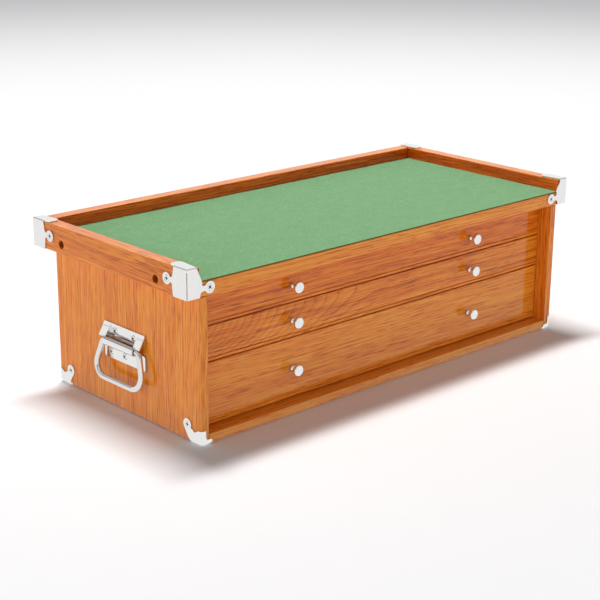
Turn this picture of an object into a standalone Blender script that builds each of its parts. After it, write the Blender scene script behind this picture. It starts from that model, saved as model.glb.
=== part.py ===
"""Oak tool chest riser: three drawers under a felt-lined tray, plated corner caps and two drop handles.

Metres, +Z up, front towards -Y. The origin is on the floor, under the middle of the whole riser.
"""

import math

import bmesh
import bpy
from mathutils import Matrix, Vector

MM = 0.001

# Fit between pieces that touch, and the eased edge of every oak board
FIT = 0.3 * MM
EDGE_EASE = 0.8 * MM

# Case: two sides with the bottom and the back between them
CASE_WIDTH = 610 * MM
CASE_DEPTH = 272 * MM
SIDE_THICK = 10.5 * MM
BOTTOM_THICK = 10.5 * MM
BACK_THICK = 10 * MM

# Deck, its front rail, and the felt on it
DECK_THICK = 16.5 * MM
RAIL_DEPTH = 18 * MM
FELT_THICK = 1.5 * MM

# Rim boards round three sides of the deck, with counterbored screw holes in the two end boards
RIM_THICK = 17 * MM
RIM_HEIGHT = 33 * MM
RIM_HOLE_RADIUS = 5 * MM
RIM_HOLE_DEPTH = 9 * MM
RIM_HOLE_INSET = 55 * MM
RIM_HOLE_RISE = 11.5 * MM

# Drawers: two shallow ones over a deep one
SHALLOW_FRONT = 41.5 * MM
DEEP_FRONT = 73.5 * MM
REVEAL = 1 * MM
DRAWER_RECESS = 19 * MM
FRONT_THICK = 14 * MM
DRAWER_SIDE_THICK = 10 * MM
DRAWER_BACK_THICK = 9 * MM
DRAWER_SIDE_GAP = 1 * MM
DRAWER_REAR_GAP = 5 * MM
SIDE_TOP_DROP = 5 * MM
SIDE_LIFT = 1 * MM
PANEL_THICK = 4 * MM
PANEL_LIFT = 4 * MM
PANEL_GROOVE = 4 * MM
LINER_THICK = 1.2 * MM

# Bead and quirk along the lower edge of each drawer front
BEAD_HEIGHT = 4.2 * MM
BEAD_ROUND = 1.8 * MM
QUIRK_DEPTH = 1.3 * MM
QUIRK_WIDTH = 1.4 * MM

# Hardwood runners on the case sides, in grooves of the drawer sides
RUNNER_HEIGHT = 8 * MM
RUNNER_PROUD = 5.5 * MM
RUNNER_SETBACK = 3 * MM

# Turned knobs
KNOB_RADIUS = 6.8 * MM
KNOB_LENGTH = 13.5 * MM
KNOB_DISC = 2.2 * MM
KNOB_CROWN = 0.6 * MM
KNOB_NECK_RADIUS = 2.6 * MM
KNOB_NECK_SPAN = (4 * MM, 7.7 * MM)
KNOB_FOOT_RADIUS = 3.5 * MM
KNOB_FOOT = 1.1 * MM
KNOB_SPREAD = 309 * MM
KNOB_STEPS = 24

# Sheet metal of the corner caps, and the spare metal past each corner that its rounding trims off
CAP_METAL = 1.2 * MM
SPARE = 3 * CAP_METAL
TOP_CAP_ROUND = 1.4 * MM
FOOT_CAP_ROUND = 5 * MM
EAR_RADIUS = 6.8 * MM
EAR_NECK = 6 * MM
EAR_FILLET = 1.6 * MM
EAR_STEPS = 20

# Countersunk screw holes in the sheet metal: radius at the outer face, and the depth and height of the taper
SCREW_HEAD_RADIUS = 4.4 * MM
SCREW_TAPER = 2 * MM
SCREW_HOLE_SIDES = 16

# Top corner caps: leg widths from the corner at the top, the middle and the bottom, and the ear's centre,
# which is measured from the rim's top on the end and from the rail's foot on the front. An open seam
# parts the two legs, from their foot to a little below the rim's top
SIDE_LEG = (21 * MM, 24.5 * MM, 22.5 * MM)
SIDE_EAR_REACH = 33.4 * MM
SIDE_EAR_DROP = 15.2 * MM
FRONT_LEG = (12.5 * MM, 19.5 * MM, 16 * MM)
FRONT_EAR_REACH = 30 * MM
FRONT_EAR_RISE = 9.5 * MM
FLANGE_FAR_WIDTH = 15.4 * MM
FLANGE_LENGTH = 31 * MM
FLANGE_ROUND = 5.5 * MM
SEAM_WIDTH = 0.7 * MM
SEAM_DROP = 2 * MM

# Bottom corner caps: a lobe with a screw ear on the end and underneath, and a low lobe on the front edge
LOBE_REACH = 23.5 * MM
LOBE_RISE = 18.8 * MM
LOBE_FOOT = 19 * MM
LOBE_PEAK = 16.2 * MM
LOBE_WAIST = 12.8 * MM
LOBE_WAIST_REACH = 10.6 * MM
LOBE_WAIST_ROUND = 4.2 * MM
LOBE_PEAK_WIDTH = 3.4 * MM
LOBE_EAR_SPAN = (-35, 205)
LOBE_WAIST_SPAN = (-30, -140)
TOE_REACH = 14 * MM
TOE_HEIGHT = 5.4 * MM
TOE_NOTCH = 5.2 * MM

# Drop handles: pressed plate with a raised barrel, and a round-bar bail
HANDLE_RISE = 81.5 * MM
PLATE_METAL = 1.5 * MM
PLATE_WIDTH = 77 * MM
PLATE_TOP = 20.5 * MM
PLATE_FOOT = 22.5 * MM
PLATE_CORNER = 3 * MM
BARREL_WIDTH = 55.4 * MM
BARREL_STAND = 7 * MM
BAIL_WIRE = 3.5 * MM
BARREL_PLAY = 0.8 * MM
BARREL_LIP = 60
BARREL_STEPS = 14
RAMP_WIDTH = 10.8 * MM
RAMP_TOP = 19.3 * MM
SLOT_EDGE = 3.2 * MM
UPPER_SCREW_SPACING = 34.5 * MM
UPPER_SCREW_RISE = 12.5 * MM
LOWER_SCREW_SPACING = 26 * MM
LOWER_SCREW_DROP = 14.3 * MM
BAIL_TOP_SPAN = 68 * MM
BAIL_FOOT_SPAN = 97 * MM
BAIL_DROP = 43.5 * MM
BAIL_TOP_BEND = 5 * MM
BAIL_FOOT_BEND = 16 * MM
BAIL_LEAN = math.radians(8)

# Places that follow from the sizes above
CASE_HEIGHT = BOTTOM_THICK + 2 * SHALLOW_FRONT + DEEP_FRONT + 4 * REVEAL
CASE_X = CASE_WIDTH / 2
INNER_X = CASE_X - SIDE_THICK
FRONT_Y = -(CASE_DEPTH + RIM_THICK) / 2
BACK_Y = FRONT_Y + CASE_DEPTH
CAP_SKIN = CAP_METAL + FIT
CASE_Z = CAP_SKIN
DECK_Z = CASE_Z + CASE_HEIGHT
DECK_TOP_Z = DECK_Z + DECK_THICK
RIM_TOP_Z = DECK_Z + RIM_HEIGHT
FACE_Y = FRONT_Y + DRAWER_RECESS
BOX_Y = FACE_Y + FRONT_THICK
DRAWER_BACK_Y = BACK_Y - BACK_THICK - DRAWER_REAR_GAP
DRAWER_X = INNER_X - DRAWER_SIDE_GAP
BARREL_BORE = BAIL_WIRE + BARREL_PLAY
FRONT_EAR_DROP = RIM_HEIGHT - FRONT_EAR_RISE

# How an outline's own X and Y lie in space, by the plane that it is drawn in, and the axis across that plane
PLANES = {
    "XY": Matrix(((1, 0, 0), (0, 1, 0), (0, 0, 1))),
    "YZ": Matrix(((0, 0, 1), (1, 0, 0), (0, 1, 0))),
    "XZ": Matrix(((1, 0, 0), (0, 0, -1), (0, 1, 0))),
}
ACROSS = {"XY": Vector((0, 0, 1)), "YZ": Vector((1, 0, 0)), "XZ": Vector((0, 1, 0))}


def clear_scene():
    for obj in list(bpy.data.objects):
        bpy.data.objects.remove(obj)


def new_collection(name):
    collection = bpy.data.collections.new(name)
    bpy.context.scene.collection.children.link(collection)
    return collection


def finish(name, colour, roughness, metallic):
    """A Principled material with one plain colour."""
    made = bpy.data.materials.new(name)
    made.use_nodes = True
    shader = made.node_tree.nodes["Principled BSDF"]
    shader.inputs["Base Color"].default_value = (*colour, 1)
    shader.inputs["Roughness"].default_value = roughness
    shader.inputs["Metallic"].default_value = metallic
    return made


clear_scene()
parts = new_collection("tool_chest_riser")
cutters = new_collection("cutters")

OAK = finish("varnished oak", (0.60, 0.24, 0.07), 0.38, 0)
BEECH = finish("drawer wood", (0.62, 0.40, 0.20), 0.55, 0)
FELT = finish("green felt", (0.20, 0.42, 0.20), 0.95, 0)
PLATING = finish("bright plating", (0.80, 0.80, 0.79), 0.18, 1)


def group(name, location=(0, 0, 0)):
    """An empty that carries the pieces of one moving or fixed assembly."""
    empty = bpy.data.objects.new(name, None)
    parts.objects.link(empty)
    empty.location = location
    return empty


def add_piece(name, mesh, material, carrier, location):
    """A named piece, at this place in space, carried by its assembly's empty."""
    mesh.name = name
    mesh.materials.clear()
    mesh.materials.append(material)
    obj = bpy.data.objects.new(name, mesh)
    parts.objects.link(obj)
    obj.parent = carrier
    obj.location = Vector(location) - carrier.location
    return obj


def mesh_from(bm):
    mesh = bpy.data.meshes.new("shape")
    bm.to_mesh(mesh)
    bm.free()
    return mesh


def block(low, high, rounding=0):
    """A box from its low corner to its high one, with all its edges rounded if asked."""
    bm = bmesh.new()
    bmesh.ops.create_cube(bm, size=1)
    bmesh.ops.scale(bm, vec=Vector(high) - Vector(low), verts=bm.verts)
    bmesh.ops.translate(bm, vec=(Vector(low) + Vector(high)) / 2, verts=bm.verts)
    if rounding:
        bmesh.ops.bevel(
            bm, geom=bm.edges[:], offset=rounding, segments=3, profile=0.5, affect="EDGES", material=-1
        )
    return mesh_from(bm)


def evaluated_mesh(obj):
    graph = bpy.context.evaluated_depsgraph_get()
    return bpy.data.meshes.new_from_object(obj.evaluated_get(graph))


def prism(plane, outline, low, high):
    """A flat outline drawn in this plane, filled and extruded from low to high along the third axis."""
    curve = bpy.data.curves.new("outline", "CURVE")
    curve.dimensions = "2D"
    curve.fill_mode = "BOTH"
    curve.extrude = (high - low) / 2
    spline = curve.splines.new("POLY")
    spline.points.add(len(outline) - 1)
    spline.use_cyclic_u = True
    for point, (x, y) in zip(spline.points, outline):
        point.co = (x, y, 0, 1)
    drawn = bpy.data.objects.new("outline", curve)
    cutters.objects.link(drawn)
    flat = evaluated_mesh(drawn)
    bpy.data.objects.remove(drawn)
    bm = bmesh.new()
    bm.from_mesh(flat)
    bmesh.ops.remove_doubles(bm, verts=bm.verts, dist=0.001 * MM)
    bmesh.ops.transform(bm, matrix=PLANES[plane].to_4x4(), verts=bm.verts)
    bmesh.ops.translate(bm, vec=ACROSS[plane] * (low + high) / 2, verts=bm.verts)
    bmesh.ops.recalc_face_normals(bm, faces=bm.faces)
    return mesh_from(bm)


def rod(plane, centre, radius, low, high, sides=20):
    """A round rod that runs along the plane's third axis."""
    turns = [2 * math.pi * step / sides for step in range(sides)]
    outline = [(centre[0] + radius * math.cos(a), centre[1] + radius * math.sin(a)) for a in turns]
    return prism(plane, outline, low, high)


def screw_hole(plane, centre, face):
    """A cutter for a countersunk hole: a cone with its screw head's radius at the metal's outer face.

    face is that face's place on the axis across the plane, and its sign is the way that it looks.
    """
    bm = bmesh.new()
    bmesh.ops.create_cone(
        bm,
        cap_ends=True,
        segments=SCREW_HOLE_SIDES,
        radius1=SCREW_HEAD_RADIUS - SCREW_TAPER,
        radius2=SCREW_HEAD_RADIUS + SCREW_TAPER,
        depth=2 * SCREW_TAPER,
    )
    outward = ACROSS[plane] * math.copysign(1, face)
    turn = Vector((0, 0, 1)).rotation_difference(outward).to_matrix().to_4x4()
    place = PLANES[plane] @ Vector((*centre, 0)) + ACROSS[plane] * face
    bmesh.ops.transform(bm, matrix=Matrix.Translation(place) @ turn, verts=bm.verts)
    return mesh_from(bm)


def combined(first, second, operation):
    """The Boolean UNION, DIFFERENCE or INTERSECT of two meshes, as a new mesh."""
    body = bpy.data.objects.new("body", first)
    tool = bpy.data.objects.new("tool", second)
    cutters.objects.link(body)
    cutters.objects.link(tool)
    modifier = body.modifiers.new("combine", "BOOLEAN")
    modifier.operation = operation
    modifier.object = tool
    mesh = evaluated_mesh(body)
    bpy.data.objects.remove(body)
    bpy.data.objects.remove(tool)
    return mesh


def fused(meshes):
    whole = meshes[0]
    for mesh in meshes[1:]:
        whole = combined(whole, mesh, "UNION")
    return whole


def drilled(mesh, holes):
    for hole in holes:
        mesh = combined(mesh, hole, "DIFFERENCE")
    return mesh


def mirrored(mesh, across_x, across_y):
    """A copy of a mesh, mirrored across the YZ plane, the XZ plane, both or neither."""
    bm = bmesh.new()
    bm.from_mesh(mesh)
    bmesh.ops.scale(bm, vec=(-1 if across_x else 1, -1 if across_y else 1, 1), verts=bm.verts)
    if across_x != across_y:
        bmesh.ops.reverse_faces(bm, faces=bm.faces)
    return mesh_from(bm)


def arc(centre, radius, start, end, steps=8):
    """Points on an arc, from one angle in degrees to another."""
    angles = [math.radians(start + (end - start) * step / steps) for step in range(steps + 1)]
    return [(centre[0] + radius * math.cos(a), centre[1] + radius * math.sin(a)) for a in angles]


def ease(obj):
    modifier = obj.modifiers.new("eased edges", "BEVEL")
    modifier.width = EDGE_EASE
    modifier.segments = 2
    modifier.limit_method = "ANGLE"
    modifier.angle_limit = math.radians(30)


def cut_away(obj, name, mesh, location):
    """Take a cutter's shape, at this place in space, out of a piece, after the piece's other modifiers."""
    cutter = bpy.data.objects.new(f"{obj.name}_{name}", mesh)
    cutters.objects.link(cutter)
    cutter.location = location
    cutter.hide_render = True
    cutter.display_type = "WIRE"
    cut = obj.modifiers.new(name, "BOOLEAN")
    cut.operation = "DIFFERENCE"
    cut.object = cutter


def board(name, low, high, material, carrier, eased=True):
    """A straight board between two corners, with its origin in its middle."""
    half = (Vector(high) - Vector(low)) / 2
    obj = add_piece(name, block(-half, half), material, carrier, Vector(low) + half)
    if eased:
        ease(obj)
    return obj


def corner_waste():
    """The wood that is taken off a bottom corner of the case so that a rounded foot cap fits over it.

    The corner is at 0, 0, 0, with the case towards +X, +Y and +Z.
    """
    size = Vector((TOE_REACH + FIT, LOBE_FOOT + FOOT_CAP_ROUND, LOBE_PEAK + FIT))
    whole = block((-SPARE, -SPARE, -SPARE), size)
    kept = block((0, 0, 0), 2 * size, FOOT_CAP_ROUND - CAP_SKIN)
    return combined(whole, kept, "DIFFERENCE")


def round_foot_corners(obj, waste, hands):
    """Round a board's bottom corners under the foot caps, on the given sides of the case."""
    for end, y in (("front", FRONT_Y), ("rear", BACK_Y)):
        for hand, side in hands:
            mesh = mirrored(waste, side > 0, end == "rear")
            cut_away(obj, f"{end}_{hand}_corner", mesh, (side * CASE_X, y, CASE_Z))


def build_case(case):
    case_top_z = DECK_Z - FIT
    waste = corner_waste()
    hands = (("left", -1), ("right", 1))
    for name, side in hands:
        edges = sorted((side * INNER_X, side * CASE_X))
        case_side = board(
            f"case_{name}_side",
            (edges[0], FRONT_Y, CASE_Z),
            (edges[1], BACK_Y, case_top_z),
            OAK,
            case,
        )
        round_foot_corners(case_side, waste, [(name, side)])
    between_x = INNER_X - FIT
    floor_z = CASE_Z + BOTTOM_THICK
    bottom = board("case_bottom", (-between_x, FRONT_Y, CASE_Z), (between_x, BACK_Y, floor_z), OAK, case)
    round_foot_corners(bottom, waste, hands)
    board(
        "case_back",
        (-between_x, BACK_Y - BACK_THICK, floor_z + FIT),
        (between_x, BACK_Y, case_top_z),
        OAK,
        case,
    )


def build_deck(case):
    edge_x = CASE_X - FIT
    rail_back_y = FRONT_Y + RAIL_DEPTH
    board("front_rail", (-edge_x, FRONT_Y, DECK_Z), (edge_x, rail_back_y, DECK_TOP_Z), OAK, case)
    board(
        "deck_board",
        (-edge_x, rail_back_y + FIT, DECK_Z),
        (edge_x, BACK_Y - FIT, DECK_TOP_Z),
        OAK,
        case,
    )
    felt_z = DECK_TOP_Z + FIT
    board(
        "deck_felt",
        (-edge_x, FRONT_Y, felt_z),
        (edge_x, BACK_Y - FIT, felt_z + FELT_THICK),
        FELT,
        case,
        eased=False,
    )


def build_rim(case):
    """Three boards, mitred at the two back corners."""
    outer_x = CASE_X + RIM_THICK
    outer_y = BACK_Y + RIM_THICK
    mitre_gap = FIT * math.sqrt(2) / 2
    end_board = [
        (-outer_x, FRONT_Y),
        (-CASE_X, FRONT_Y),
        (-CASE_X, BACK_Y - mitre_gap),
        (-outer_x, outer_y - mitre_gap),
    ]
    back_board = [
        (-CASE_X + mitre_gap, BACK_Y),
        (CASE_X - mitre_gap, BACK_Y),
        (outer_x - mitre_gap, outer_y),
        (-outer_x + mitre_gap, outer_y),
    ]
    left = prism("XY", end_board, 0, RIM_HEIGHT)
    add_rim_board("rim_right", mirrored(left, True, False), case, 1)
    add_rim_board("rim_left", left, case, -1)
    add_rim_board("rim_back", prism("XY", back_board, 0, RIM_HEIGHT), case, 0)


def add_rim_board(name, mesh, case, side):
    """A rim board; an end board has two counterbores in its outer face, on the given side."""
    obj = add_piece(name, mesh, OAK, case, (0, 0, DECK_Z))
    ease(obj)
    outer_x = CASE_X + RIM_THICK
    reach = sorted((side * (outer_x - RIM_HOLE_DEPTH), side * (outer_x + RIM_HOLE_DEPTH)))
    for place, y in (("front", FRONT_Y + RIM_HOLE_INSET), ("rear", BACK_Y + RIM_THICK - RIM_HOLE_INSET)):
        if side == 0:
            continue
        hole = rod("YZ", (y, RIM_HOLE_RISE), RIM_HOLE_RADIUS, *reach)
        cut_away(obj, f"{place}_counterbore", hole, (0, 0, DECK_Z))


def eared_leg(widths, height, ear_reach, ear_drop):
    """Outline of one leg of a top cap: the corner is at 0 across and the rim's top at 0 up.

    The free edge slants out to the middle and back, and a neck there carries a round screw ear.
    """
    top, middle, bottom = widths

    def edge(drop):
        if drop < height / 2:
            return top + (middle - top) * drop / (height / 2)
        return middle + (bottom - middle) * (drop - height / 2) / (height / 2)

    neck = EAR_NECK / 2
    spread = math.degrees(math.asin(neck / EAR_RADIUS))
    centre = (ear_reach, -ear_drop)
    upper = ear_drop - neck
    lower = ear_drop + neck
    upper_root = (edge(upper) + EAR_FILLET, -upper)
    lower_root = (edge(lower) + EAR_FILLET, -lower)
    outline = [(-SPARE, SPARE), (top, SPARE), (top, 0)]
    if upper - EAR_FILLET > height / 2:
        outline.append((middle, -height / 2))
    outline += [(edge(upper - EAR_FILLET), EAR_FILLET - upper), upper_root]
    outline += arc(centre, EAR_RADIUS, 180 - spread, spread - 180, EAR_STEPS)
    outline += [lower_root, (edge(lower + EAR_FILLET), -EAR_FILLET - lower)]
    if lower + EAR_FILLET < height / 2:
        outline.append((middle, -height / 2))
    outline += [(bottom, -height), (-SPARE, -height)]
    return outline


def cap_flange():
    """Outline of a top cap's flange on the rim: it widens from the front and has a rounded far end."""
    far = FLANGE_LENGTH - FLANGE_ROUND
    near = FRONT_LEG[0]
    outline = [(-SPARE, -SPARE), (near, -SPARE), (near, 0)]
    outline += arc((FLANGE_FAR_WIDTH - FLANGE_ROUND, far), FLANGE_ROUND, 0, 90)
    outline += arc((FLANGE_ROUND, far), FLANGE_ROUND, 90, 180)
    outline += [(0, SIDE_LEG[0]), (-SPARE, SIDE_LEG[0])]
    return outline


def corner_shell(end_wall, front_wall, level_wall, level, rounding, reach):
    """Sheet metal round a corner: two upright walls and a level one, with rounded edges between them.

    X runs inwards along the front, Y backwards along the end. level is 1 with the level wall on top
    of the corner and -1 with it underneath. The outlines cut the walls out of an even skin.
    """
    heights = sorted((level * CAP_SKIN, -level * reach))
    outer = block((-CAP_SKIN, -CAP_SKIN, heights[0]), (reach, reach, heights[1]), rounding)
    hollow_heights = sorted((level * FIT, -2 * level * reach))
    hollow_low = (-FIT, -FIT, hollow_heights[0])
    hollow = block(hollow_low, (2 * reach, 2 * reach, hollow_heights[1]), rounding - CAP_METAL)
    skin = combined(outer, hollow, "DIFFERENCE")
    walls = fused(
        [
            prism("YZ", end_wall, -SPARE, rounding),
            prism("XZ", front_wall, -SPARE, rounding),
            prism("XY", level_wall, *sorted((-level * rounding, level * SPARE))),
        ]
    )
    return combined(skin, walls, "INTERSECT")


def build_top_caps(case):
    shell = corner_shell(
        eared_leg(SIDE_LEG, RIM_HEIGHT, SIDE_EAR_REACH, SIDE_EAR_DROP),
        eared_leg(FRONT_LEG, RIM_HEIGHT, FRONT_EAR_REACH, FRONT_EAR_DROP),
        cap_flange(),
        1,
        TOP_CAP_ROUND,
        RIM_HEIGHT + SIDE_EAR_REACH,
    )
    seam = prism("XY", strip((-SPARE, -SPARE), (SPARE, SPARE), SEAM_WIDTH), -RIM_HEIGHT - SPARE, -SEAM_DROP)
    shell = combined(shell, seam, "DIFFERENCE")
    shell = drilled(
        shell,
        [
            screw_hole("YZ", (SIDE_EAR_REACH, -SIDE_EAR_DROP), -CAP_SKIN),
            screw_hole("XZ", (FRONT_EAR_REACH, -FRONT_EAR_DROP), -CAP_SKIN),
        ],
    )
    corner_x = CASE_X + RIM_THICK
    add_four_caps("top_cap", shell, case, corner_x, FRONT_Y, BACK_Y + RIM_THICK, RIM_TOP_Z)


def add_four_caps(name, shell, case, corner_x, front_y, rear_y, z):
    for end, y in (("front", front_y), ("rear", rear_y)):
        for hand, x in (("left", -corner_x), ("right", corner_x)):
            mesh = mirrored(shell, hand == "right", end == "rear")
            add_piece(f"{name}_{end}_{hand}", mesh, PLATING, case, (x, y, z))


def eared_lobe(peak):
    """Outline of a bottom cap's diagonal lobe, with the corner at 0, 0 and the ear at its far end.

    peak is how far the lobe runs up the corner's own edge.
    """
    outline = [(-SPARE, -SPARE), (LOBE_FOOT, -SPARE), (LOBE_FOOT, 0)]
    outline += arc((LOBE_REACH, LOBE_RISE), EAR_RADIUS, *LOBE_EAR_SPAN, EAR_STEPS)
    outline += arc((LOBE_WAIST_REACH, LOBE_WAIST + LOBE_WAIST_ROUND), LOBE_WAIST_ROUND, *LOBE_WAIST_SPAN)
    outline += [(LOBE_PEAK_WIDTH, peak), (-SPARE, peak)]
    return outline


def cap_toe():
    """Outline of a bottom cap's low lobe on the front edge, notched clear of the drawer opening."""
    tip = TOE_HEIGHT / 2
    outline = [(-SPARE, -SPARE), (TOE_REACH - tip, -SPARE)]
    outline += arc((TOE_REACH - tip, tip), tip, -90, 90)
    outline += arc((TOE_NOTCH + tip, TOE_HEIGHT + tip), tip, 270, 180, 5)
    outline += [(TOE_NOTCH / 2, LOBE_PEAK), (-SPARE, LOBE_PEAK)]
    return outline


def build_foot_caps(case):
    lobe = eared_lobe(LOBE_PEAK)
    under = [(y, x) for x, y in eared_lobe(TOE_REACH - TOE_HEIGHT / 2)]
    reach = LOBE_REACH + LOBE_RISE + LOBE_FOOT
    shell = corner_shell(lobe, cap_toe(), under, -1, FOOT_CAP_ROUND, reach)
    shell = drilled(
        shell,
        [
            screw_hole("YZ", (LOBE_REACH, LOBE_RISE), -CAP_SKIN),
            screw_hole("XY", (LOBE_RISE, LOBE_REACH), -CAP_SKIN),
        ],
    )
    add_four_caps("foot_cap", shell, case, CASE_X, FRONT_Y, BACK_Y, CASE_Z)


def rounded_rectangle(low, high, radius):
    (x0, y0), (x1, y1) = low, high
    outline = arc((x1 - radius, y0 + radius), radius, -90, 0, 4)
    outline += arc((x1 - radius, y1 - radius), radius, 0, 90, 4)
    outline += arc((x0 + radius, y1 - radius), radius, 90, 180, 4)
    outline += arc((x0 + radius, y0 + radius), radius, 180, 270, 4)
    return outline


def strip(start, end, thick):
    """Outline of a straight strip of sheet between two points on its middle line."""
    along = (Vector(end) - Vector(start)).normalized()
    across = Vector((-along.y, along.x)) * thick / 2
    corners = (Vector(start) + across, Vector(end) + across, Vector(end) - across, Vector(start) - across)
    return [tuple(corner) for corner in corners]


def handle_plate():
    """Pressed plate of a drop handle. X is out from the case side, and the bail's axis is at z = 0.

    Two flat bands lie on the case. A cheeked ramp at each end lifts the upper one to the barrel, which
    curls over the bail's bar and runs back into the lower one. Between the ramps the barrel is open, and
    behind each ramp, where its metal was pressed out, the upper band is only a strip.
    """
    half = PLATE_WIDTH / 2
    seat = FIT
    face = FIT + PLATE_METAL
    outer = BARREL_BORE + PLATE_METAL
    axis = (BARREL_STAND, 0)
    inner = half - RAMP_WIDTH
    strip_foot = RAMP_TOP - PLATE_METAL
    top_strip = rounded_rectangle((-half, strip_foot), (half, PLATE_TOP), (PLATE_TOP - strip_foot) / 2)
    band = rounded_rectangle((-inner, SLOT_EDGE), (inner, PLATE_TOP), PLATE_METAL)
    upper = fused([prism("YZ", top_strip, seat, face), prism("YZ", band, seat, face)])
    lower = prism("YZ", rounded_rectangle((-half, -PLATE_FOOT), (half, -BARREL_BORE), PLATE_CORNER), seat, face)
    curl = arc(axis, outer, BARREL_LIP, -90, BARREL_STEPS)
    curl += [(seat + PLATE_METAL / 2, -outer), (seat + PLATE_METAL / 2, -BARREL_BORE)]
    curl += arc(axis, BARREL_BORE, -90, BARREL_LIP, BARREL_STEPS)
    barrel = prism("XZ", curl, -BARREL_WIDTH / 2, BARREL_WIDTH / 2)
    lip = math.radians(BARREL_LIP)
    middle = BARREL_BORE + PLATE_METAL / 2
    landing = (BARREL_STAND + middle * math.cos(lip), middle * math.sin(lip))
    slope = strip((seat + PLATE_METAL / 2, RAMP_TOP), landing, PLATE_METAL)
    ramp = prism("XZ", slope, inner - PLATE_METAL, half)
    cheek_outline = [(seat + PLATE_METAL / 2, RAMP_TOP), landing, (seat + PLATE_METAL / 2, SLOT_EDGE + FIT)]
    cheek = prism("XZ", cheek_outline, inner - PLATE_METAL, inner)
    wing = combined(ramp, cheek, "UNION")
    plate = fused([upper, barrel, lower, wing, mirrored(wing, False, True)])
    places = [(UPPER_SCREW_SPACING * k / 2, UPPER_SCREW_RISE) for k in (-1, 1)]
    places += [(LOWER_SCREW_SPACING * k, -LOWER_SCREW_DROP) for k in (-1, 0, 1)]
    return drilled(plate, [screw_hole("YZ", place, face) for place in places])


def rounded_path(corners, radii, steps=6):
    """Points of a closed path through these corners, each rounded by its own bend radius."""
    path = []
    for i, (corner, radius) in enumerate(zip(corners, radii)):
        here = Vector(corner)
        back = (Vector(corners[i - 1]) - here).normalized()
        ahead = (Vector(corners[(i + 1) % len(corners)]) - here).normalized()
        half_angle = back.angle(ahead) / 2
        middle = here + (back + ahead).normalized() * radius / math.sin(half_angle)
        first = here + back * radius / math.tan(half_angle) - middle
        turn = first.angle_signed(here + ahead * radius / math.tan(half_angle) - middle)
        for step in range(steps + 1):
            path.append(middle + Matrix.Rotation(-turn * step / steps, 2) @ first)
    return path


def handle_bail():
    """Closed ring of round bar, in the YZ plane, with its top bar on the axis."""
    corners = [
        (-BAIL_TOP_SPAN / 2, 0),
        (BAIL_TOP_SPAN / 2, 0),
        (BAIL_FOOT_SPAN / 2, -BAIL_DROP),
        (-BAIL_FOOT_SPAN / 2, -BAIL_DROP),
    ]
    path = rounded_path(corners, (BAIL_TOP_BEND, BAIL_TOP_BEND, BAIL_FOOT_BEND, BAIL_FOOT_BEND))
    curve = bpy.data.curves.new("bail", "CURVE")
    curve.dimensions = "3D"
    curve.bevel_depth = BAIL_WIRE
    curve.bevel_resolution = 3
    spline = curve.splines.new("POLY")
    spline.points.add(len(path) - 1)
    spline.use_cyclic_u = True
    for point, (y, z) in zip(spline.points, path):
        point.co = (0, y, z, 1)
    drawn = bpy.data.objects.new("bail", curve)
    cutters.objects.link(drawn)
    mesh = evaluated_mesh(drawn)
    bpy.data.objects.remove(drawn)
    return mesh


def build_handles(case):
    plate = handle_plate()
    bail = handle_bail()
    for name, side in (("left", -1), ("right", 1)):
        mesh = mirrored(plate, side < 0, False)
        z = CASE_Z + HANDLE_RISE
        middle_y = FRONT_Y + CASE_DEPTH / 2
        add_piece(f"handle_plate_{name}", mesh, PLATING, case, (side * CASE_X, middle_y, z))
        axis = (side * (CASE_X + BARREL_STAND), middle_y, z)
        hinge = group(f"bail_{name}_hinge", axis)
        ring = mirrored(bail, side < 0, False)
        obj = add_piece(f"handle_bail_{name}", ring, PLATING, hinge, axis)
        obj.rotation_euler = (0, -side * BAIL_LEAN, 0)
        obj.data.shade_smooth()


def front_outline(height):
    """Section of a drawer front: bead and quirk at the foot of the face, panel groove in the back.

    The face is at 0, and the section runs backwards and up from the front's lower edge.
    """
    quirk_top = BEAD_HEIGHT + QUIRK_WIDTH
    outline = arc((BEAD_ROUND, BEAD_ROUND), BEAD_ROUND, 270, 180, 5)
    outline += [(0, BEAD_HEIGHT - QUIRK_DEPTH / 2), (QUIRK_DEPTH / 3, BEAD_HEIGHT)]
    outline += [(QUIRK_DEPTH, BEAD_HEIGHT + QUIRK_WIDTH / 4), (QUIRK_DEPTH, quirk_top - QUIRK_WIDTH / 4)]
    outline += [(0, quirk_top), (0, height - EDGE_EASE), (EDGE_EASE, height)]
    groove = (SIDE_LIFT + PANEL_LIFT, SIDE_LIFT + PANEL_LIFT + PANEL_THICK + 2 * FIT)
    outline += [(FRONT_THICK, height), (FRONT_THICK, groove[1]), (FRONT_THICK - PANEL_GROOVE, groove[1])]
    outline += [(FRONT_THICK - PANEL_GROOVE, groove[0]), (FRONT_THICK, groove[0]), (FRONT_THICK, 0)]
    return outline


def side_outline(height):
    """Section of a drawer side: runner groove in the outer face, panel groove in the inner one.

    The outer face is at 0, and the section runs inwards and up from the side's lower edge.
    """
    runner = (height / 2 - RUNNER_HEIGHT / 2 - FIT, height / 2 + RUNNER_HEIGHT / 2 + FIT)
    depth = RUNNER_PROUD - DRAWER_SIDE_GAP + FIT
    panel = (PANEL_LIFT, PANEL_LIFT + PANEL_THICK + 2 * FIT)
    inner = DRAWER_SIDE_THICK
    outline = [(0, 0), (0, runner[0]), (depth, runner[0]), (depth, runner[1]), (0, runner[1])]
    outline += [(0, height), (inner, height), (inner, panel[1]), (inner - PANEL_GROOVE, panel[1])]
    outline += [(inner - PANEL_GROOVE, panel[0]), (inner, panel[0]), (inner, 0)]
    return outline


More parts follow.
